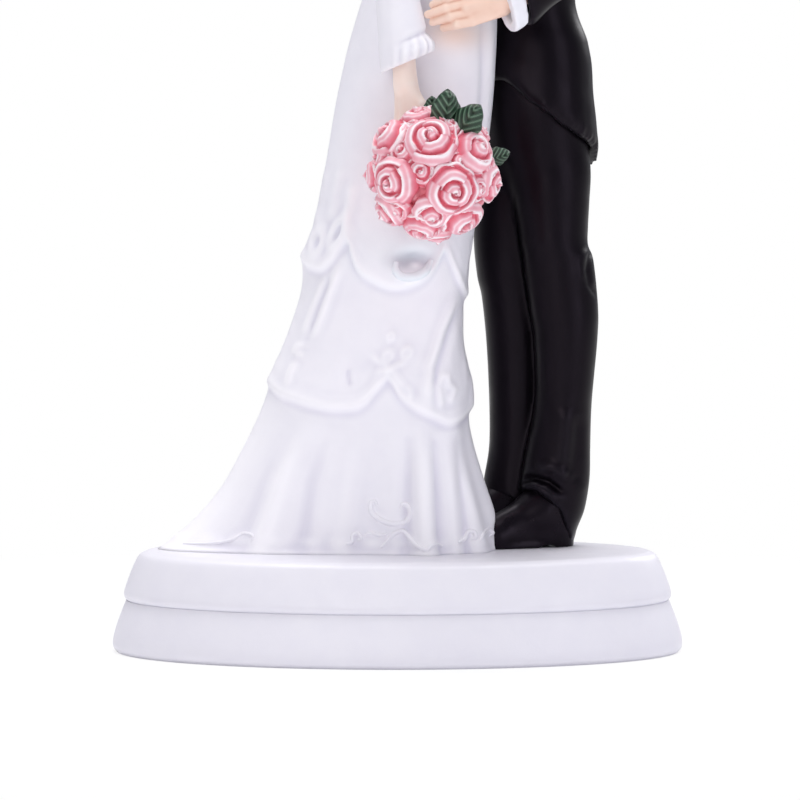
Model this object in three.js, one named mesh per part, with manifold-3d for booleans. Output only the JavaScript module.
// Wedding cake topper: a cast and painted resin couple standing on a two-tier oval plinth.
// Millimetres. x runs along the plinth to the groom's side, y to the back, z up from the underside.
// The figures are built in a frame whose z = 0 is the top of the plinth.
import * as THREE from "three";
import { mergeVertices } from "three/addons/utils/BufferGeometryUtils.js";
import Module from "manifold-3d";

const wasm = await Module();
wasm.setup();

// Plinth
const LOWER_TIER_LENGTH = 84;
const LOWER_TIER_DEPTH = 50;
const LOWER_TIER_HEIGHT = 7.6;
const UPPER_TIER_LENGTH = 80.6;
const UPPER_TIER_DEPTH = 46.6;
const UPPER_TIER_HEIGHT = 7.2;
const TIER_SPIGOT_LENGTH = 56;
const TIER_SPIGOT_DEPTH = 28;
const TIER_SPIGOT_HEIGHT = 1.8;

// Glue joints and steel dowels
const GLUE_GAP = 0.25;
const FACET_TOLERANCE = 0.05;
const DOWEL_RADIUS = 1.2;
const DOWEL_IN_PLINTH = 4.2;
const DOWEL_IN_SKIRT = 9;
const DOWEL_IN_LEG = 15;
const NECK_PEG_LENGTH = 5;
const WAIST_PEG_RADIUS = 3;
const WAIST_PEG_LENGTH = 5;

// Bride
const BRIDE_X = 5.3;
const BRIDE_Y = 1.2;
const BRIDE_TURN = 48;
const SKIRT_HEIGHT = 84;
const BODICE_HEIGHT = 21.5;
const BRIDE_HEAD = 17;
const BRIDE_NECK = 4.6;
const BRIDE_SHOULDER_WIDTH = 21;
const BRIDE_HAND = 11.5;
const GOWN_SLEEVE_RADIUS = 3.1;
const GOWN_CUFF_RADIUS = 4;
const FOREARM_RADIUS = 1.9;
const TRAIN_REACH = 35.6;
const BRIDE_LEAN = [-0.4, -0.3, 0];
const BRIDE_WRIST_FROM_BOUQUET = [-4.1, 4.3, 13.2];
const BRIDE_RIGHT_ELBOW_OUT = [-0.6, -1.4, 0];
const BRIDE_LEFT_ELBOW_OUT = [0.7, -5, -8.6];
const BRIDE_LEFT_HAND_LIFT = 9.4;
const BRIDE_LEFT_HAND_SIDE = 4.6;
const BRIDE_LEFT_HAND_DROP = 4;
const BUN_RADIUS = 3.7;
const BUN_CENTRE = [0, 8.1, 3.4];
const BRIDE_NECK_RADIUS = 2.55;

// Bouquet
const BOUQUET_WIDTH = 16.2;
const BOUQUET_DEPTH = 12.2;
const BOUQUET_DROP = 28.3;
const BOUQUET_FORWARD = 14.3;
const STEM_RADIUS = 1.5;
const STEM_REACH = [-2.2, 3.6, 9.6];
const LEAF_THICKNESS = 1.1;

// Groom
const GROOM_X = 20.2;
const GROOM_Y = 10.2;
const GROOM_TURN = -45;
const GROOM_INSEAM = 57;
const GROOM_HIP_HEIGHT = 61.5;
const GROOM_TORSO_HEIGHT = 50;
const GROOM_HEAD = 18;
const GROOM_NECK = 3.4;
const GROOM_SHOULDER_WIDTH = 27;
const GROOM_HAND = 13;
const LEG_SPACING_X = 6;
const LEG_SPACING_Y = 5.4;
const TROUSER_RADIUS = 4.75;
const SHOE_LENGTH = 17;
const SHOE_WIDTH = 6.2;
const HEM_SLOPE = 0.72;
const HEM_CUTAWAY = 0.034;
const SHIRT_OPENING_WIDTH = 8.4;
const SHIRT_OPENING_HEIGHT = 22;
const SHIRT_DEPTH = 1.6;
const CUFF_LENGTH = 2.2;
const CUFF_RADIUS = 3.3;
const SUIT_SLEEVE_RADIUS = 4.1;
const GROOM_LEAN = [0.3, -0.6, 0];
const GROOM_HEAD_REACH = [-1.6, -2.6, 0];
const GROOM_NECK_RADIUS = 3.2;
const GROOM_SHOULDER_DROP = 1.6;
const LEFT_WRIST_FROM_WAIST = [10.6, -10, -3.2];
const LEFT_ELBOW_OUT = [6.6, -0.8, -5];
const RIGHT_WRIST_FROM_WAIST = [-0.6, 9.8, 1.5];
const RIGHT_ELBOW_OUT = [2.6, 2.2, -5];
const ANKLE_FROM_HEEL = 5;
const COLLAR_REACH = 4.6;
const COLLAR_DROP = 1.2;
const BOW_TIE_HALF = 3.2;

const STAND_Z = LOWER_TIER_HEIGHT + UPPER_TIER_HEIGHT;
const V = (x, y, z) => new THREE.Vector3(x, y, z);
const UP = V(0, 0, 1);
const radians = THREE.MathUtils.degToRad;
const mix = THREE.MathUtils.lerp;

// A closed geometry as a solid, its shared corners merged.
function solid(geometry) {
  const bare = geometry.clone();
  bare.deleteAttribute("normal");
  bare.deleteAttribute("uv");
  const merged = mergeVertices(bare, 1e-4);
  const triVerts = new Uint32Array(merged.index.array);
  const vertProperties = merged.attributes.position.array;
  return new wasm.Manifold(new wasm.Mesh({ numProp: 3, vertProperties, triVerts }));
}

// The largest body of a solid, without the crumbs that a cut can leave.
function mainBody(shape) {
  return shape.decompose().reduce((a, b) => (b.volume() > a.volume() ? b : a));
}

function join(...shapes) {
  return shapes.reduce((a, b) => a.add(b));
}

// A piece cut back from its neighbours, each given as a function of how far it is grown.
function cutBack(shape, ...neighbours) {
  return mainBody(neighbours.reduce((left, grown) => left.subtract(grown(GLUE_GAP)), shape));
}

// A solid from corner points and triangles, turned so that its faces point out.
function fromTriangles(points, faces) {
  const p = (i) => points[i];
  const volume = faces.reduce((sum, [a, b, c]) => sum + p(a).dot(p(b).clone().cross(p(c))), 0);
  const index = faces.flatMap(([a, b, c]) => (volume < 0 ? [a, c, b] : [a, b, c]));
  const geometry = new THREE.BufferGeometry().setFromPoints(points);
  return solid(geometry.setIndex(index));
}

// Skins a stack of rings that have equally many points, and closes both ends with a fan.
function loft(rings) {
  const sides = rings[0].length;
  const last = rings.length - 1;
  const middle = (ring) => ring.reduce((sum, q) => sum.add(q), V(0, 0, 0)).divideScalar(sides);
  const points = [...rings.flat(), middle(rings[0]), middle(rings[last])];
  const faces = [];
  for (let i = 0; i < sides; i++) {
    const next = (i + 1) % sides;
    for (let r = 0; r < last; r++) {
      const [a, b, c, d] = [r * sides + i, r * sides + next, (r + 1) * sides + next, (r + 1) * sides + i];
      faces.push([a, b, c], [a, c, d]);
    }
    faces.push([points.length - 2, next, i]);
    faces.push([points.length - 1, last * sides + i, last * sides + next]);
  }
  return fromTriangles(points, faces);
}

// A level egg-shaped ring with its own reach to each of the four sides, turned about its middle.
function eggRing(x, y, z, reach, turn, sides, grow = 0) {
  const { right, left, front, back } = reach;
  return Array.from({ length: sides }, (_, i) => {
    const angle = (2 * Math.PI * i) / sides;
    const along = Math.cos(angle) * ((Math.cos(angle) > 0 ? right : left) + grow);
    const across = Math.sin(angle) * ((Math.sin(angle) > 0 ? back : front) + grow);
    return V(along, across, 0).applyAxisAngle(UP, radians(turn)).add(V(x, y, z));
  });
}

// A limb along a smooth path. Each station is [point, half width, half depth]; ends are domed or flat.
function limb(stations, { sides = 12, steps = 3, grow = 0, flat = [false, false] } = {}) {
  const curve = new THREE.CatmullRomCurve3(stations.map((s) => s[0]));
  const count = (stations.length - 1) * steps;
  const rings = [];
  let side = V(0, 0, 0);
  const ring = (centre, tangent, wide, deep) => {
    side.sub(tangent.clone().multiplyScalar(side.dot(tangent))).normalize();
    const other = tangent.clone().cross(side);
    return Array.from({ length: sides }, (_, i) => {
      const angle = (2 * Math.PI * i) / sides;
      const out = side.clone().multiplyScalar(Math.cos(angle) * wide);
      return out.addScaledVector(other, Math.sin(angle) * deep).add(centre);
    });
  };
  for (let k = 0; k <= count; k++) {
    const share = k / count;
    const from = Math.min(Math.floor(k / steps), stations.length - 2);
    const part = k / steps - from;
    const ease = part * part * (3 - 2 * part);
    const wide = mix(stations[from][1], stations[from + 1][1], ease) + grow;
    const deep = mix(stations[from][2], stations[from + 1][2], ease) + grow;
    const tangent = curve.getTangent(share).normalize();
    if (k === 0) side.set(Math.abs(tangent.x) < 0.8 ? 1 : 0, Math.abs(tangent.x) < 0.8 ? 0 : 1, 0);
    const centre = curve.getPoint(share);
    const dome = (sign) => (sides > 8 ? [0.5, 0.87] : [0.7]).map((lift) => {
      const shrink = Math.sqrt(1 - lift * lift);
      const moved = centre.clone().addScaledVector(tangent, sign * lift * Math.min(wide, deep));
      return ring(moved, tangent, wide * shrink, deep * shrink);
    });
    if (k === 0 && !flat[0]) rings.push(...dome(-1).reverse());
    if (k === 0 && flat[0]) centre.addScaledVector(tangent, -grow);
    if (k === count && flat[1]) centre.addScaledVector(tangent, grow);
    rings.push(ring(centre, tangent, wide, deep));
    if (k === count && !flat[1]) rings.push(...dome(1));
  }
  return loft(rings);
}

function ellipsoid(centre, rx, ry, rz, sides = 14) {
  const geometry = new THREE.SphereGeometry(1, sides, Math.round(sides * 0.6));
  geometry.rotateX(Math.PI / 2).scale(rx, ry, rz).translate(centre.x, centre.y, centre.z);
  return solid(geometry);
}

// A round bar between two points, flat at both ends.
function bar(from, to, radius, sides = 16) {
  const length = from.distanceTo(to);
  const geometry = new THREE.CylinderGeometry(radius, radius, length, sides).rotateX(Math.PI / 2);
  const turn = new THREE.Quaternion().setFromUnitVectors(UP, to.clone().sub(from).normalize());
  const middle = from.clone().lerp(to, 0.5);
  geometry.applyQuaternion(turn).translate(middle.x, middle.y, middle.z);
  return solid(geometry);
}

// Moves a solid by a three.js matrix.
function placed(shape, matrix) {
  return shape.transform(matrix.elements);
}

function addPiece(group, name, shape, material) {
  const mesh = mainBody(shape.simplify(FACET_TOLERANCE)).getMesh();
  const geometry = new THREE.BufferGeometry();
  geometry.setAttribute("position", new THREE.BufferAttribute(mesh.vertProperties, 3));
  geometry.setIndex(new THREE.BufferAttribute(mesh.triVerts, 1));
  geometry.computeVertexNormals();
  const piece = new THREE.Mesh(geometry, material);
  piece.name = name;
  group.add(piece);
}

const paint = (color, roughness, metalness = 0) =>
  new THREE.MeshStandardMaterial({ color, roughness, metalness });
const WHITE_RESIN = paint(0xebebf3, 0.5);
const GOWN_WHITE = paint(0xefeef6, 0.48);
const SKIN = paint(0xf3cbb0, 0.55);
const SUIT_BLACK = paint(0x141316, 0.38);
const SHOE_BLACK = paint(0x18171a, 0.28);
const SHIRT_WHITE = paint(0xf0f0f5, 0.5);
const ROSE_PINK = paint(0xf4b6c0, 0.5);
const LEAF_GREEN = paint(0x3f6648, 0.5);
const BRIDE_HAIR_BROWN = paint(0x6b4327, 0.45);
const GROOM_HAIR_BROWN = paint(0x2e1d14, 0.45);
const STEEL = paint(0xb8babd, 0.35, 1);

const plinth = new THREE.Group();
const couple = new THREE.Group();
couple.position.z = STAND_Z;

// Plinth tiers: oval rings that follow a side profile of [inset, height].
const TIER_SIDES = 48;
function tier(length, depth, profile) {
  return loft(profile.map(([inset, z]) => {
    const half = { right: length / 2 - inset, left: length / 2 - inset };
    return eggRing(0, 0, z, { ...half, front: depth / 2 - inset, back: depth / 2 - inset }, 0, TIER_SIDES);
  }));
}
function spigot(grow, top) {
  const [length, depth] = [TIER_SPIGOT_LENGTH + 2 * grow, TIER_SPIGOT_DEPTH + 2 * grow];
  return tier(length, depth, [[0, LOWER_TIER_HEIGHT - TIER_SPIGOT_HEIGHT - grow], [0, top]]);
}
const lowerProfile = [
  [0.7, 0], [0.15, 0.1], [0, 0.3], [0.35, 0.56], [0.95, 0.8], [1.5, 0.92], [2.3, 1],
].map(([inset, share]) => [inset, share * LOWER_TIER_HEIGHT]);
const upperProfile = [
  [0.55, 0], [0.1, 0.07], [0, 0.24], [0.45, 0.56], [1.3, 0.82], [2.3, 0.95], [3.4, 1],
].map(([inset, share]) => [inset, LOWER_TIER_HEIGHT + share * UPPER_TIER_HEIGHT]);
const lowerTier = tier(LOWER_TIER_LENGTH, LOWER_TIER_DEPTH, lowerProfile)
  .subtract(spigot(GLUE_GAP, LOWER_TIER_HEIGHT + 1));
let upperTier = tier(UPPER_TIER_LENGTH, UPPER_TIER_DEPTH, upperProfile);
upperTier = join(upperTier, spigot(0, LOWER_TIER_HEIGHT + 1));

// Gown skirt. Rows are [share of the height, left, right, front, back reach], left scaled by the train.
const SKIRT_SIDES = 54;
const SKIRT_AXIS_X = 2.4;
const SKIRT_AXIS_Y = 3.2;
const SKIRT_ROWS = [
  [0, 1, 13.3, 10.6, 14.6],
  [0.02, 0.95, 12.8, 10.2, 14.0],
  [0.055, 0.86, 12.0, 9.9, 13.2],
  [0.11, 0.755, 10.4, 9.6, 12.2],
  [0.18, 0.67, 8.7, 9.4, 11.2],
  [0.235, 0.607, 7.8, 9.3, 10.6],
  [0.285, 0.565, 8.4, 9.4, 10.4],
  [0.32, 0.545, 7.9, 9.2, 9.9],
  [0.365, 0.495, 7.2, 9.0, 9.4],
  [0.43, 0.45, 7.4, 8.9, 8.9],
  [0.475, 0.425, 7.9, 9.0, 8.7],
  [0.507, 0.43, 8.2, 9.1, 8.6],
  [0.54, 0.402, 8.5, 8.9, 8.2],
  [0.6, 0.364, 9.2, 8.8, 7.8],
  [0.68, 0.34, 10.4, 8.8, 7.2],
  [0.785, 0.302, 11.5, 8.8, 6.6],
  [0.88, 0.256, 12.2, 8.6, 6.2],
  [0.95, 0.21, 12.4, 8.4, 5.4],
  [1, 0.172, 11.6, 8.0, 4.8],
];
const SWAGS = [
  { height: 0.57, droop: 0.075, lip: 0.55, start: 222 },
  { height: 0.35, droop: 0.08, lip: 0.6, start: 254 },
];
const SWAGS_AROUND = 5;
const HEM_FOLDS = 9;
const HEM_FOLD_DEPTH = 0.75;

// How far a swag's gathered edge stands out of the skirt at an angle and a share of the height.
function swagRelief(angle, share) {
  return SWAGS.reduce((sum, { height, droop, lip, start }) => {
    const pitch = 360 / SWAGS_AROUND;
    const along = (((angle - start) % pitch) + pitch) % pitch / pitch;
    const edge = height - droop * Math.sin(Math.PI * along);
    const above = share - edge;
    return sum + (above < 0 ? 0 : lip * Math.exp(-above / 0.05));
  }, 0);
}
function skirtShape(grow = 0) {
  return loft(SKIRT_ROWS.map(([share, left, right, front, back], row) => {
    const reach = { left: left * (TRAIN_REACH + SKIRT_AXIS_X), right, front, back };
    const lift = row === 0 ? -grow : row === SKIRT_ROWS.length - 1 ? grow : 0;
    const z = share * SKIRT_HEIGHT + lift;
    const ring = eggRing(SKIRT_AXIS_X, SKIRT_AXIS_Y, z, reach, 0, SKIRT_SIDES, grow);
    return ring.map((q, i) => {
      const angle = (360 * i) / SKIRT_SIDES;
      const fold = HEM_FOLD_DEPTH * Math.cos(radians(HEM_FOLDS * angle + 30)) * Math.max(0, 1 - share / 0.3);
      const out = V(q.x - SKIRT_AXIS_X, q.y - SKIRT_AXIS_Y, 0).normalize();
      return q.addScaledVector(out, fold + swagRelief(angle, share));
    });
  }));
}

// A figure's own axes in plan: where it faces and where its left side is.
const facing = (turn) => V(Math.sin(radians(turn)), -Math.cos(radians(turn)), 0);
const leftOf = (turn) => V(Math.cos(radians(turn)), Math.sin(radians(turn)), 0);
const brideFacing = facing(BRIDE_TURN);
const brideLeft = leftOf(BRIDE_TURN);
const groomFacing = facing(GROOM_TURN);
const groomLeft = leftOf(GROOM_TURN);

// Bodice. Rows are [share of the height, half width as a share of the shoulders, front, back reach].
const BODICE_ROWS = [
  [0, 0.77, 6.2, 6.0],
  [0.24, 0.8, 6.6, 6.2],
  [0.46, 0.9, 8.3, 6.3],
  [0.6, 0.94, 8.2, 6.2],
  [0.75, 0.98, 6.4, 5.8],
  [0.87, 0.84, 4.8, 5.0],
  [0.95, 0.5, 3.6, 3.9],
  [1, 0.36, 3.0, 3.2],
];
const BODICE_SIDES = 24;
const waist = V(BRIDE_X, BRIDE_Y, SKIRT_HEIGHT);
const brideNeck = waist.clone().add(V(...BRIDE_LEAN)).add(V(0, 0, BODICE_HEIGHT));
function bodiceShape(grow = 0) {
  return loft(BODICE_ROWS.map(([share, width, front, back], row) => {
    const half = (width * BRIDE_SHOULDER_WIDTH) / 2;
    const middle = waist.clone().lerp(brideNeck, share);
    const lift = row === 0 ? GLUE_GAP - grow : row === BODICE_ROWS.length - 1 ? grow : 0;
    const reach = { left: half, right: half, front, back };
    return eggRing(middle.x, middle.y, middle.z + lift, reach, BRIDE_TURN, BODICE_SIDES, grow);
  }));
}
function waistPeg(grow = 0) {
  const foot = waist.clone().add(V(0, 0, -WAIST_PEG_LENGTH - grow));
  return bar(foot, waist.clone().add(V(0, 0, 2)), WAIST_PEG_RADIUS + grow);
}

// A head in its own frame: middle of the head at the origin, face towards -y, size chin to crown.
function headShape(size, grow = 0) {
  const s = size / 17;
  const cranium = ellipsoid(V(0, 0.9 * s, 1.9 * s), 5.7 * s + grow, 7 * s + grow, 6.6 * s + grow, 12);
  const face = ellipsoid(V(0, -2.1 * s, -2.6 * s), 4.7 * s + grow, 4.7 * s + grow, 5.9 * s + grow, 10);
  const nose = ellipsoid(V(0, -6.5 * s, -1.3 * s), 0.95 * s + grow, 1.5 * s + grow, 1.8 * s + grow, 8);
  const ears = [-1, 1].map((side) =>
    ellipsoid(V(side * 5.5 * s, 1 * s, -0.9 * s), 0.8 * s + grow, 1.4 * s + grow, 2 * s + grow, 8));
  return join(cranium, face, nose, ...ears);
}
// The two turn their heads towards each other; a positive pitch looks down.
const HEAD_TURN = 28;
const BRIDE_LOOKS_UP = 8;
const GROOM_LOOKS_DOWN = 12;
function headMatrix(centre, turn, pitch) {
  const spin = new THREE.Euler(radians(pitch), 0, radians(turn), "ZYX");
  return new THREE.Matrix4().makeRotationFromEuler(spin).setPosition(centre);
}
const brideHeadCentre = brideNeck.clone().add(V(0, 0, BRIDE_NECK + BRIDE_HEAD * 0.32));
const brideHeadMatrix = headMatrix(brideHeadCentre, BRIDE_TURN + HEAD_TURN, -BRIDE_LOOKS_UP);
function neckShape(base, head, radius, grow = 0) {
  const foot = base.clone().add(V(0, 0, -NECK_PEG_LENGTH - grow));
  const root = base.clone().add(V(0, 0, -1));
  const top = head.clone().add(V(0, 0, -1));
  const stations = [foot, root, top].map((point) => [point, radius, radius]);
  return limb(stations, { grow, flat: [true, false] });
}
const brideNeckShape = (grow = 0) => neckShape(brideNeck, brideHeadCentre, BRIDE_NECK_RADIUS, grow);
const brideHeadShape = (grow = 0) =>
  placed(headShape(BRIDE_HEAD, grow), brideHeadMatrix).add(brideNeckShape(grow));

// Hair as a cap over the cranium, cut away in front along a slanted hairline.
function hairCap(size, hairline, extra) {
  const s = size / 17;
  const cap = ellipsoid(V(0, 1.3 * s, 2.4 * s), 6.7 * s, 7.9 * s, 7.3 * s, 14);
  const opening = new THREE.BoxGeometry(30, 20, 30);
  opening.translate(0, -10, -15).rotateX(radians(hairline)).translate(0, -3.6 * s, 5.4 * s);
  const collar = new THREE.BoxGeometry(30, 30, 20).translate(0, 0, -10 - 3.4 * s);
  return join(cap.subtract(solid(opening)).subtract(solid(collar)), ...extra);
}
const bunCentre = V(...BUN_CENTRE);
const brideHairShape = () => {
  const bun = ellipsoid(bunCentre, BUN_RADIUS, BUN_RADIUS * 0.9, BUN_RADIUS, 12);
  return placed(hairCap(BRIDE_HEAD, 38, [bun]), brideHeadMatrix);
};
const brideHairGrown = (grow) => {
  const s = BRIDE_HEAD / 17;
  const cap = ellipsoid(V(0, 1.3 * s, 2.4 * s), 6.7 * s + grow, 7.9 * s + grow, 7.3 * s + grow, 14);
  const bun = ellipsoid(bunCentre, BUN_RADIUS + grow, BUN_RADIUS * 0.9 + grow, BUN_RADIUS + grow, 12);
  return placed(cap.add(bun), brideHeadMatrix);
};

// A hand in its own frame: wrist at the origin, fingers along +y, back of the hand +z, thumb at +x.
function handShape(length, grow = 0) {
  const s = length / 14;
  const finger = (x, reach, bend, radius) => {
    const knuckle = V(x * s, 6.4 * s, 0.1 * s);
    const tip = V(x * 0.9 * s, reach * s, -bend * s);
    const bow = knuckle.clone().lerp(tip, 0.5).add(V(0, 0, 0.35 * s));
    const r = radius * s;
    return limb([[knuckle, r, r], [bow, r, r], [tip, r * 0.8, r * 0.8]], { sides: 6, steps: 1, grow });
  };
  const palm = limb([
    [V(0, -2 * s, 0), 2 * s, 1.6 * s], [V(0, 0.6 * s, 0), 2 * s, 1.5 * s], [V(0, 4 * s, 0), 3 * s, 1.35 * s],
    [V(0, 7 * s, 0), 2.8 * s, 1.1 * s],
  ], { sides: 10, steps: 1, grow });
  const thumb = limb([
    [V(1.6 * s, 2 * s, -0.2 * s), 1.1 * s, s], [V(3.6 * s, 4.6 * s, -0.5 * s), 0.95 * s, 0.9 * s],
    [V(4.3 * s, 7.6 * s, -0.8 * s), 0.75 * s, 0.7 * s],
  ], { sides: 6, steps: 1, grow });
  const fingers = [[2.15, 11.9, 0.9], [0.75, 13, 1], [-0.7, 12.5, 1.05], [-2, 11, 1.2]]
    .map(([x, reach, bend]) => finger(x, reach, bend, 0.78));
  return join(palm, thumb, ...fingers);
}
// Places a hand at a wrist, with the fingers along one direction and the back of the hand to another.
function handMatrix(wrist, along, back, thumbSide) {
  const y = along.clone().normalize();
  const z = back.clone().addScaledVector(y, -back.dot(y)).normalize();
  const x = y.clone().cross(z).multiplyScalar(thumbSide);
  return new THREE.Matrix4().makeBasis(x, y, z).setPosition(wrist);
}

// Bride's right arm: a sleeve to below the elbow with a gathered cuff, then the bare forearm and hand.
const brideRightShoulder = waist.clone().addScaledVector(brideLeft, -BRIDE_SHOULDER_WIDTH * 0.43);
brideRightShoulder.z += BODICE_HEIGHT * 0.78;
const bouquetCentre = V(BRIDE_X, BRIDE_Y - BOUQUET_FORWARD, SKIRT_HEIGHT - BOUQUET_DROP);
const brideRightWrist = bouquetCentre.clone().add(V(...BRIDE_WRIST_FROM_BOUQUET));
const brideRightElbow = brideRightShoulder.clone().lerp(brideRightWrist, 0.56)
  .add(V(...BRIDE_RIGHT_ELBOW_OUT));
const cuffEnd = brideRightElbow.clone().lerp(brideRightWrist, 0.62);
const brideForearm = (grow = 0) => {
  const start = brideRightElbow.clone().lerp(brideRightWrist, 0.3);
  const stations = [[start, 1.1], [cuffEnd, 1], [brideRightWrist, 0.76]]
    .map(([point, share]) => [point, share * FOREARM_RADIUS, share * FOREARM_RADIUS]);
  return limb(stations, { grow });
};
const brideRightHandMatrix = handMatrix(brideRightWrist, V(0.36, -0.1, -1), V(-0.75, -0.66, 0), -1);
const brideRightHand = (grow = 0) => placed(handShape(BRIDE_HAND, grow), brideRightHandMatrix);
const brideRightForearmShape = (grow = 0) => join(brideForearm(grow), brideRightHand(grow));
const gownSleeve = (path, endRadius, grow) => limb(path.map((point, i) => {
  const radius = i === path.length - 1 ? endRadius : GOWN_SLEEVE_RADIUS * [1.06, 1.02, 0.94, 0.9][i];
  return [point, radius, radius * 0.94];
}), { grow, flat: [false, true], sides: 12, steps: 2 });
const brideRightSleeve = (grow = 0) => gownSleeve([
  brideRightShoulder, brideRightShoulder.clone().lerp(brideRightElbow, 0.5), brideRightElbow,
  brideRightElbow.clone().lerp(cuffEnd, 0.6), cuffEnd,
], GOWN_CUFF_RADIUS, grow);

// Bouquet: a round core on a bundle of stems, with roses and leaves set on it.
const coreHalf = BOUQUET_WIDTH / 2;
const coreDeep = BOUQUET_DEPTH / 2;
const coreShape = (grow = 0) =>
  ellipsoid(bouquetCentre, coreHalf + grow, coreDeep + grow, coreHalf + grow, 14);
const stemTop = bouquetCentre.clone().add(V(...STEM_REACH));
const stemFoot = bouquetCentre.clone().lerp(stemTop, 0.2);
const stemAlong = stemTop.clone().sub(stemFoot).normalize();
const stemShape = (grow = 0) => {
  const from = stemFoot.clone().addScaledVector(stemAlong, -grow);
  const to = stemTop.clone().addScaledVector(stemAlong, grow);
  return bar(from, to, STEM_RADIUS + grow, 12);
};
// Each rose is [degrees to the right, degrees up, radius], seen from the front of the bouquet.
const ROSES = [
  [-4, 32, 4.4], [17, -15, 4.4], [-40, -8, 4.1], [-64, 36, 3.4], [45, 23, 3.4], [-24, -60, 3.1],
  [6, 76, 2.6], [44, -48, 3.3], [70, -9, 2.8], [-84, -2, 2.6], [-70, -38, 3.0], [-44, 66, 2.8],
  [76, 40, 2.4], [30, -84, 2.6],
];
function roseMatrix(right, up) {
  const level = Math.cos(radians(up));
  const out = facing(right).multiplyScalar(level).setZ(Math.sin(radians(up)));
  const seat = V(out.x * coreHalf, out.y * coreDeep, out.z * coreHalf).add(bouquetCentre);
  const turn = new THREE.Quaternion().setFromUnitVectors(UP, out);
  return new THREE.Matrix4().makeRotationFromQuaternion(turn).setPosition(seat);
}
const ROSE_PROFILE = [[0, -0.5], [0.55, -0.4], [0.92, 0.05], [1, 0.36], [0.86, 0.62], [0.5, 0.74], [0, 0.7]];
function roseShape([right, up, radius], grow = 0) {
  const size = radius + grow;
  const profile = ROSE_PROFILE.map(([r, h]) => new THREE.Vector2(r * size, h * size));
  const geometry = new THREE.LatheGeometry(profile, 10).rotateX(Math.PI / 2);
  return placed(solid(geometry), roseMatrix(right, up));
}
// Each leaf is [degrees to the right, degrees up, length, roll].
const LEAVES = [[22, 58, 6, 20], [36, 46, 5.8, -30], [84, 14, 4.8, 10], [-16, 84, 4.2, 0]];
function leafShape([right, up, length, roll], grow = 0) {
  const blade = ellipsoid(V(0, 0, length * 0.3), length * 0.32 + grow, LEAF_THICKNESS / 2 + grow,
    length * 0.5 + grow, 10);
  const tilt = new THREE.Matrix4().makeRotationZ(radians(roll));
  return placed(blade, roseMatrix(right, up).multiply(tilt));
}

// Groom's legs, hips and shoes.
const nearAnkle = V(GROOM_X + LEG_SPACING_X / 2, GROOM_Y - LEG_SPACING_Y / 2, 0);
const farAnkle = V(GROOM_X - LEG_SPACING_X / 2, GROOM_Y + LEG_SPACING_Y / 2, 0);
// Leg rows are [share of the inseam, thickness, shift in x, shift in y] from the ankle up.
const NEAR_LEG = [
  [0.09, 1.03, 0, 0], [0.24, 0.98, 0.4, 0], [0.45, 0.98, 1.5, -0.3],
  [0.62, 1.01, 1.8, -0.4], [0.81, 1.06, 1.2, 0], [1, 1.12, 0.3, 0.8],
];
const FAR_LEG = [
  [0.09, 0.97, 0, 0], [0.24, 0.93, 0.6, 0], [0.42, 0.94, 0.8, 0],
  [0.62, 0.97, -0.2, -0.2], [0.81, 1.02, -0.5, -0.5], [1, 1.1, 0.4, -0.8],
];
function legShape(ankle, rows, grow = 0) {
  const stations = rows.map(([share, size, x, y]) => {
    const point = ankle.clone().add(V(x, y, share * GROOM_INSEAM));
    return [point, TROUSER_RADIUS * size, TROUSER_RADIUS * size];
  });
  return limb(stations, { sides: 16, steps: 2, grow, flat: [true, false] });
}
const HIP_SIDES = 20;
// Hip rows are [height from the hips, half width, front, back reach]; the top sits inside the jacket.
const HIP_ROWS = [
  [-14, 4, 3.4, 3.4], [-8, 7.2, 6.2, 6.4], [-2, 8.3, 7.2, 7.5], [6, 8, 6.8, 7], [13, 7.2, 6.2, 6.1],
];
function hipShape(grow = 0) {
  return loft(HIP_ROWS.map(([z, half, front, back], row) => {
    const lift = row === 0 ? -grow : row === HIP_ROWS.length - 1 ? grow : 0;
    const reach = { left: half, right: half, front, back };
    return eggRing(GROOM_X, GROOM_Y, GROOM_HIP_HEIGHT + z + lift, reach, GROOM_TURN, HIP_SIDES, grow);
  }));
}
const trousersShape = (grow = 0) =>
  join(legShape(nearAnkle, NEAR_LEG, grow), legShape(farAnkle, FAR_LEG, grow), hipShape(grow));

// Shoe: rows are [share of the length from the heel, half width, height], with a flat sole.
const SHOE_ROWS = [
  [0, 0.5, 2.2], [0.07, 0.82, 4.6], [0.28, 0.92, 7.5], [0.48, 0.9, 6.6], [0.68, 1, 4.4], [0.86, 0.88, 3.2],
  [0.96, 0.55, 2.2], [1, 0.2, 1.2],
];
const SHOE_SIDES = 14;
function shoeShape(ankle, turn, grow = 0) {
  const along = facing(turn);
  const across = leftOf(turn);
  const heel = ankle.clone().addScaledVector(along, -ANKLE_FROM_HEEL);
  return loft(SHOE_ROWS.map(([share, width, height], row) => {
    const stretch = row === 0 ? -grow : row === SHOE_ROWS.length - 1 ? grow : 0;
    const middle = heel.clone().addScaledVector(along, share * SHOE_LENGTH + stretch);
    return Array.from({ length: SHOE_SIDES }, (_, i) => {
      const angle = (2 * Math.PI * (i + 0.5)) / SHOE_SIDES;
      const side = Math.cos(angle) * ((width * SHOE_WIDTH) / 2 + grow);
      const rise = Math.sin(angle) > 0 ? Math.sin(angle) * (height + grow) : 0;
      return middle.clone().addScaledVector(across, side).add(V(0, 0, rise));
    });
  }));
}
const NEAR_SHOE_TURN = -66;
const FAR_SHOE_TURN = -58;
const nearShoe = (grow = 0) => shoeShape(nearAnkle, NEAR_SHOE_TURN, grow);
const farShoe = (grow = 0) => shoeShape(farAnkle, FAR_SHOE_TURN, grow);

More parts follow.
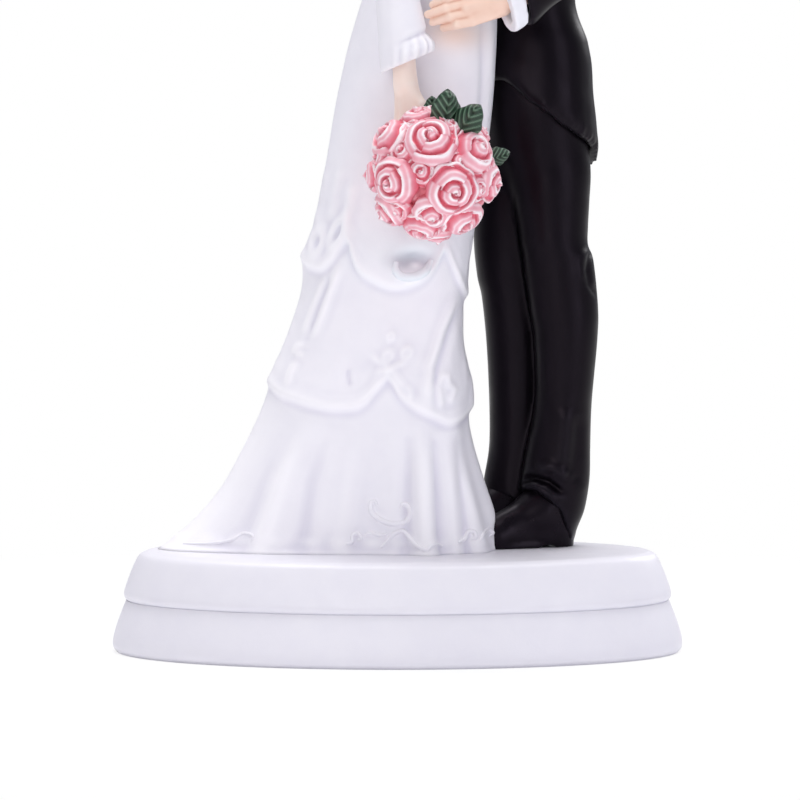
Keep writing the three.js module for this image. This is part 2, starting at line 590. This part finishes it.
// Jacket. Rows are [share of the torso height, half width as a share of the shoulders, front, back].
const JACKET_ROWS = [
  [0, 0.75, 8.2, 9.5],
  [0.1, 0.72, 8.0, 8.9],
  [0.2, 0.65, 7.4, 8.0],
  [0.32, 0.59, 6.9, 7.0],
  [0.45, 0.6, 6.9, 6.8],
  [0.6, 0.69, 7.5, 7.0],
  [0.74, 0.79, 8.0, 7.2],
  [0.86, 0.86, 7.2, 6.8],
  [0.94, 0.8, 5.6, 5.6],
  [0.985, 0.48, 4.2, 4.4],
  [1, 0.32, 3.6, 3.8],
];
const JACKET_SIDES = 24;
const hemCentre = V(GROOM_X, GROOM_Y, GROOM_HIP_HEIGHT);
const groomNeck = hemCentre.clone().add(V(...GROOM_LEAN)).add(V(0, 0, GROOM_TORSO_HEIGHT));
function jacketShape(grow = 0) {
  return loft(JACKET_ROWS.map(([share, width, front, back], row) => {
    const half = (width * GROOM_SHOULDER_WIDTH) / 2;
    const middle = hemCentre.clone().lerp(groomNeck, share);
    const lift = row === 0 ? -grow : row === JACKET_ROWS.length - 1 ? grow : 0;
    const reach = { left: half, right: half, front, back };
    const ring = eggRing(middle.x, middle.y, middle.z + lift, reach, GROOM_TURN, JACKET_SIDES, grow);
    const hemShare = Math.max(0, 1 - share / 0.3);
    return ring.map((q) => {
      const ahead = groomFacing.dot(q.clone().sub(middle));
      return q.add(V(0, 0, hemShare * (HEM_SLOPE * ahead + HEM_CUTAWAY * Math.max(0, ahead) ** 2)));
    });
  }));
}
// The V-shaped opening of the jacket, as a prism that points out of the chest.
function shirtOpening(grow, depth) {
  const half = SHIRT_OPENING_WIDTH / 2 + grow;
  const corners = [[-half, 3], [0, -SHIRT_OPENING_HEIGHT - 2 * grow], [half, 3]];
  const outline = new THREE.Shape(corners.map(([x, y]) => new THREE.Vector2(x, y)));
  const geometry = new THREE.ExtrudeGeometry(outline, { depth: 20, bevelEnabled: false });
  const basis = new THREE.Matrix4().makeBasis(groomLeft, UP, groomFacing.clone());
  const chest = hemCentre.clone().lerp(groomNeck, 0.74);
  const start = V(chest.x, chest.y, groomNeck.z).addScaledVector(groomFacing, depth);
  return solid(geometry.applyMatrix4(basis.setPosition(start)));
}
const CHEST_REACH = 7.6;

// Groom's head and hair.
const groomHeadCentre = groomNeck.clone().add(V(...GROOM_HEAD_REACH))
  .add(V(0, 0, GROOM_NECK + GROOM_HEAD * 0.38));
const groomHeadMatrix = headMatrix(groomHeadCentre, GROOM_TURN - HEAD_TURN, GROOM_LOOKS_DOWN);
const groomNeckShape = (grow = 0) => neckShape(groomNeck, groomHeadCentre, GROOM_NECK_RADIUS, grow);
const groomHeadShape = (grow = 0) =>
  placed(headShape(GROOM_HEAD, grow), groomHeadMatrix).add(groomNeckShape(grow));
const groomHairShape = () => placed(hairCap(GROOM_HEAD, 26, []), groomHeadMatrix);

// Groom's left arm reaches across to the bride's waist.
const groomLeftShoulder = hemCentre.clone().lerp(groomNeck, 0.9)
  .addScaledVector(groomLeft, GROOM_SHOULDER_WIDTH * 0.41);
groomLeftShoulder.z -= GROOM_SHOULDER_DROP;
const groomLeftWrist = waist.clone().add(V(...LEFT_WRIST_FROM_WAIST));
const groomLeftElbow = groomLeftShoulder.clone().lerp(groomLeftWrist, 0.52)
  .add(V(...LEFT_ELBOW_OUT));
const groomLeftHandMatrix = handMatrix(groomLeftWrist, V(-1, -0.12, -0.24), V(-0.1, -1, 0.1), 1);
const groomLeftHand = (grow = 0) => placed(handShape(GROOM_HAND, grow), groomLeftHandMatrix);
// A sleeve from shoulder to wrist, and the shirt cuff that shows past its end.
const sleeveEnd = (elbow, wrist) => wrist.clone().lerp(elbow, 0.13);
function suitSleeve(shoulder, elbow, wrist, grow = 0) {
  const end = sleeveEnd(elbow, wrist);
  const stations = [
    [shoulder, 1], [shoulder.clone().lerp(elbow, 0.5), 0.97], [elbow, 0.94],
    [elbow.clone().lerp(end, 0.55), 0.94], [end, 0.97],
  ].map(([point, share]) => [point, share * SUIT_SLEEVE_RADIUS, share * SUIT_SLEEVE_RADIUS]);
  return limb(stations, { grow, flat: [false, true], sides: 12, steps: 2 });
}
function shirtCuff(elbow, wrist, grow = 0) {
  const along = wrist.clone().sub(elbow).normalize();
  const start = sleeveEnd(elbow, wrist).addScaledVector(along, GLUE_GAP);
  const end = start.clone().addScaledVector(along, CUFF_LENGTH);
  return bar(start, end, CUFF_RADIUS + grow, 16);
}
const groomLeftSleeve = (grow = 0) => suitSleeve(groomLeftShoulder, groomLeftElbow, groomLeftWrist, grow);
const groomLeftCuff = (grow = 0) => shirtCuff(groomLeftElbow, groomLeftWrist, grow);

// Groom's right arm passes behind the bride's back.
const groomRightShoulder = hemCentre.clone().lerp(groomNeck, 0.9)
  .addScaledVector(groomLeft, -GROOM_SHOULDER_WIDTH * 0.4);
groomRightShoulder.z -= GROOM_SHOULDER_DROP;
const groomRightWrist = waist.clone().add(V(...RIGHT_WRIST_FROM_WAIST));
const groomRightElbow = groomRightShoulder.clone().lerp(groomRightWrist, 0.5)
  .add(V(...RIGHT_ELBOW_OUT));
const groomRightHandMatrix = handMatrix(groomRightWrist, V(-1, -0.5, -0.1), V(-0.5, 1, 0.1), -1);
const groomRightHand = (grow = 0) => placed(handShape(GROOM_HAND, grow), groomRightHandMatrix);
const groomRightSleeve = (grow = 0) => suitSleeve(groomRightShoulder, groomRightElbow, groomRightWrist, grow);
const groomRightCuff = (grow = 0) => shirtCuff(groomRightElbow, groomRightWrist, grow);

// Bride's left arm rests on the groom's chest.
const brideLeftShoulder = waist.clone().addScaledVector(brideLeft, BRIDE_SHOULDER_WIDTH * 0.4);
brideLeftShoulder.z += BODICE_HEIGHT * 0.78;
const groomChest = hemCentre.clone().lerp(groomNeck, 0.78);
const brideLeftWrist = groomChest.clone().addScaledVector(groomFacing, BRIDE_LEFT_HAND_LIFT)
  .addScaledVector(groomLeft, BRIDE_LEFT_HAND_SIDE);
brideLeftWrist.z -= BRIDE_LEFT_HAND_DROP;
const brideLeftElbow = brideLeftShoulder.clone().lerp(brideLeftWrist, 0.6)
  .add(V(...BRIDE_LEFT_ELBOW_OUT));
const brideLeftHandMatrix = handMatrix(brideLeftWrist, V(0.55, 0.1, 1), groomFacing, 1);
const brideLeftHand = (grow = 0) => placed(handShape(BRIDE_HAND, grow), brideLeftHandMatrix);
// The elbow is bent too far for one swept form, so the sleeve is two that meet in a round elbow.
const brideLeftSleeve = (grow = 0) => {
  const [upper, bend, end] = [
    [brideLeftShoulder.clone().lerp(brideLeftElbow, 0.6), 1], [brideLeftElbow, 0.92],
    [brideLeftWrist.clone().lerp(brideLeftElbow, 0.2), 0.9],
  ].map(([point, share]) => [point, share * GOWN_SLEEVE_RADIUS, share * GOWN_SLEEVE_RADIUS]);
  const upperLimb = limb([upper, bend], { grow, steps: 1 });
  return join(upperLimb, limb([bend, end], { grow, steps: 1, flat: [false, true] }));
};

// Bow tie under the groom's collar.
const collar = groomNeck.clone().addScaledVector(groomFacing, COLLAR_REACH);
collar.z -= COLLAR_DROP;
function bowTieShape() {
  const wing = (side) => limb([
    [collar.clone(), 0.55, 0.7], [collar.clone().addScaledVector(groomLeft, side * BOW_TIE_HALF), 0.8, 1.5],
  ], { sides: 8, steps: 2, flat: [true, true] });
  return join(wing(1), wing(-1), ellipsoid(collar, 1, 1, 1, 8));
}

// Dowels run from sockets in the plinth up into the castings.
const skirtDowels = [V(-9, 5, 0), V(6, 4, 0)];
const legDowels = [nearAnkle, farAnkle];
const dowelBar = (at, height, grow = 0) =>
  bar(at.clone().setZ(-DOWEL_IN_PLINTH - grow), at.clone().setZ(height + grow), DOWEL_RADIUS + grow, 12);
const skirtDowel = (at) => (grow = 0) => dowelBar(at, DOWEL_IN_SKIRT, grow);
const legDowel = (at) => (grow = 0) => dowelBar(at, DOWEL_IN_LEG, grow);
const DOWEL_PLAY = 0.1;
const sockets = [...skirtDowels.map(skirtDowel), ...legDowels.map(legDowel)].map((make) => make(DOWEL_PLAY));
sockets.forEach((socket) => {
  upperTier = upperTier.subtract(socket.translate([0, 0, STAND_Z]));
});
const drilled = (shape) => mainBody(sockets.reduce((left, socket) => left.subtract(socket), shape));

addPiece(plinth, "plinth_lower_tier", lowerTier, WHITE_RESIN);
addPiece(plinth, "plinth_upper_tier", upperTier, WHITE_RESIN);
skirtDowels.forEach((at, i) => addPiece(couple, `skirt_dowel_${i + 1}`, skirtDowel(at)(), STEEL));
legDowels.forEach((at, i) => addPiece(couple, `leg_dowel_${i + 1}`, legDowel(at)(), STEEL));

const skirt = cutBack(skirtShape(), nearShoe, farShoe, waistPeg);
addPiece(couple, "bride_skirt", drilled(skirt), GOWN_WHITE);
const bodice = cutBack(join(bodiceShape(), waistPeg()), brideNeckShape);
addPiece(couple, "bride_bodice", bodice, GOWN_WHITE);
addPiece(couple, "bride_head", brideHeadShape(), SKIN);
const brideHair = cutBack(brideHairShape(), brideHeadShape);
addPiece(couple, "bride_hair", brideHair, BRIDE_HAIR_BROWN);
const rightForearm = cutBack(brideRightForearmShape(), skirtShape, stemShape, coreShape, groomLeftHand);
addPiece(couple, "bride_right_forearm", rightForearm, SKIN);
const rightSleeve = cutBack(brideRightSleeve(), bodiceShape, brideRightForearmShape, skirtShape,
  groomLeftHand);
addPiece(couple, "bride_right_sleeve", rightSleeve, GOWN_WHITE);
const leftHand = cutBack(brideLeftHand(), jacketShape, bodiceShape);
addPiece(couple, "bride_left_hand", leftHand, SKIN);
const leftSleeve = cutBack(brideLeftSleeve(), bodiceShape, jacketShape, brideLeftHand);
addPiece(couple, "bride_left_sleeve", leftSleeve, GOWN_WHITE);

const core = cutBack(coreShape(), skirtShape, stemShape);
addPiece(couple, "bouquet_core", core, LEAF_GREEN);
addPiece(couple, "bouquet_stems", cutBack(stemShape(), skirtShape), LEAF_GREEN);
ROSES.forEach((rose, i) => {
  const earlier = ROSES.slice(0, i).map((other) => (grow) => roseShape(other, grow));
  const around = [coreShape, stemShape, skirtShape, brideRightForearmShape, ...earlier];
  const shape = cutBack(roseShape(rose), ...around);
  addPiece(couple, `bouquet_rose_${i + 1}`, shape, ROSE_PINK);
});
const allRoses = ROSES.map((rose) => (grow) => roseShape(rose, grow));
LEAVES.forEach((leaf, i) => {
  const earlier = LEAVES.slice(0, i).map((other) => (grow) => leafShape(other, grow));
  const around = [coreShape, stemShape, skirtShape, brideRightForearmShape, ...allRoses, ...earlier];
  addPiece(couple, `bouquet_leaf_${i + 1}`, cutBack(leafShape(leaf), ...around), LEAF_GREEN);
});

addPiece(couple, "groom_left_shoe", drilled(cutBack(nearShoe(), trousersShape)), SHOE_BLACK);
addPiece(couple, "groom_right_shoe", drilled(cutBack(farShoe(), trousersShape, nearShoe)), SHOE_BLACK);
addPiece(couple, "groom_trousers", drilled(cutBack(trousersShape(), skirtShape)), SUIT_BLACK);
let jacket = cutBack(jacketShape(), trousersShape, skirtShape, bodiceShape, groomNeckShape);
jacket = mainBody(jacket.subtract(shirtOpening(0, CHEST_REACH - SHIRT_DEPTH - 1)));
addPiece(couple, "groom_jacket", jacket, SUIT_BLACK);
const shirt = jacketShape(-0.4).intersect(shirtOpening(-GLUE_GAP, CHEST_REACH - SHIRT_DEPTH - 1 + GLUE_GAP));
addPiece(couple, "groom_shirt_front", cutBack(shirt, groomNeckShape, bodiceShape), SHIRT_WHITE);
addPiece(couple, "groom_bow_tie", cutBack(bowTieShape(), jacketShape, groomHeadShape), SUIT_BLACK);
const groomHead = cutBack(groomHeadShape(), brideHeadShape, brideHairGrown);
addPiece(couple, "groom_head", groomHead, SKIN);
const groomHair = cutBack(groomHairShape(), groomHeadShape, brideHeadShape, brideHairGrown);
addPiece(couple, "groom_hair", groomHair, GROOM_HAIR_BROWN);

const suitArm = (name, sleeve, cuff, hand, around) => {
  addPiece(couple, `groom_${name}_hand`, cutBack(hand(), ...around), SKIN);
  addPiece(couple, `groom_${name}_cuff`, cutBack(cuff(), hand, ...around), SHIRT_WHITE);
  addPiece(couple, `groom_${name}_sleeve`, cutBack(sleeve(), jacketShape, hand, ...around), SUIT_BLACK);
};
suitArm("left", groomLeftSleeve, groomLeftCuff, groomLeftHand, [skirtShape, bodiceShape, trousersShape]);
suitArm("right", groomRightSleeve, groomRightCuff, groomRightHand, [skirtShape, bodiceShape, trousersShape]);

const topper = new THREE.Group();
topper.add(plinth, couple);
export default topper;
